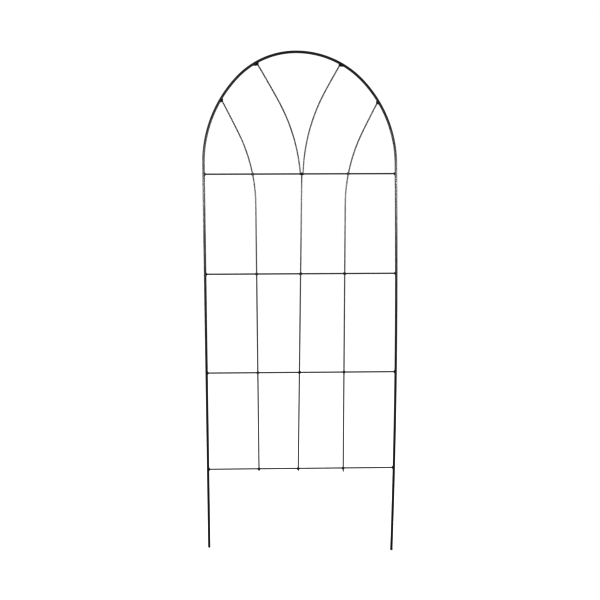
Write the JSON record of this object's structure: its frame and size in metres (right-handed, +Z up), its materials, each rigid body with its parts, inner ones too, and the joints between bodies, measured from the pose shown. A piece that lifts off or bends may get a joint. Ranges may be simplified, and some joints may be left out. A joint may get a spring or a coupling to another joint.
{
  "type": "espalier frame",
  "caption": "Arched garden trellis of welded black steel wire: a bent rod hoop with stakes, level bars, risers and a fan in the arch, pushed into soil to train climbers.",
  "frame": {"origin": "midway between the two stakes, in the hoop's plane, at the height of the lower stake tip", "axes": "+Z up along the stakes, +X to the right seen from the front, -Y out of the front, where the risers lie"},
  "size_m": [0.4619, 0.008, 1.2107],
  "materials": {
    "black_paint": "satin black powder coat over welded steel wire"
  },
  "bodies": {
    "root": {"hoop": "black_paint", "bottom_bar": "black_paint", "lower_bar": "black_paint", "upper_bar": "black_paint", "top_bar": "black_paint", "left_riser": "black_paint", "centre_riser": "black_paint", "right_riser": "black_paint", "left_fan_wire": "black_paint", "right_fan_wire": "black_paint", "bottom_bar_left_end_weld": "black_paint", "bottom_bar_right_end_weld": "black_paint", "lower_bar_left_end_weld": "black_paint", "lower_bar_right_end_weld": "black_paint", "upper_bar_left_end_weld": "black_paint", "upper_bar_right_end_weld": "black_paint", "top_bar_left_end_weld": "black_paint", "top_bar_right_end_weld": "black_paint", "bottom_bar_left_riser_weld": "black_paint", "bottom_bar_centre_riser_weld": "black_paint", "bottom_bar_right_riser_weld": "black_paint", "lower_bar_left_riser_weld": "black_paint", "lower_bar_centre_riser_weld": "black_paint", "lower_bar_right_riser_weld": "black_paint", "upper_bar_left_riser_weld": "black_paint", "upper_bar_centre_riser_weld": "black_paint", "upper_bar_right_riser_weld": "black_paint", "top_bar_left_riser_weld": "black_paint", "top_bar_centre_riser_weld": "black_paint", "top_bar_right_riser_weld": "black_paint", "left_riser_arch_weld": "black_paint", "left_fan_arch_weld": "black_paint", "right_riser_arch_weld": "black_paint", "right_fan_arch_weld": "black_paint"}
  },
  "joints": []
}
